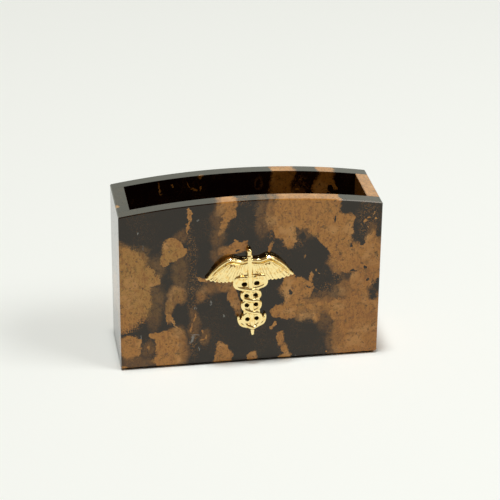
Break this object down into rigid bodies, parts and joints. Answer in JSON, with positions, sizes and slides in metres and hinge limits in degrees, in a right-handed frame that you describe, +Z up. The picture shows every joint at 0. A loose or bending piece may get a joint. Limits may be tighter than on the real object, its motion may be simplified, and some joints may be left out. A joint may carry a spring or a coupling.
{
  "type": "pen cup",
  "caption": "Flat stone pen cup with an arched rim, made of glued polished slabs on a felt pad, with a gold-plated winged staff emblem on its front.",
  "frame": {"origin": "middle of the underside of the felt pad, where the cup stands on the desk", "axes": "+X to the right seen from the emblem's side, +Y from the front to the back, +Z up"},
  "size_m": [0.1206, 0.0414, 0.0825],
  "materials": {
    "polished_stone": "polished, dark brown with tan clouds",
    "epoxy": "cured clear adhesive",
    "gold_plate": "bright gold plate on a cast base",
    "felt": "pressed wool felt, matt"
  },
  "bodies": {
    "root": {"front_panel": "polished_stone", "back_panel": "polished_stone", "left_end_panel": "polished_stone", "right_end_panel": "polished_stone", "floor_panel": "polished_stone", "corner_bonds": "epoxy", "floor_bond": "epoxy", "emblem": "gold_plate", "emblem_bond": "epoxy", "felt_base_pad": "felt"}
  },
  "joints": []
}
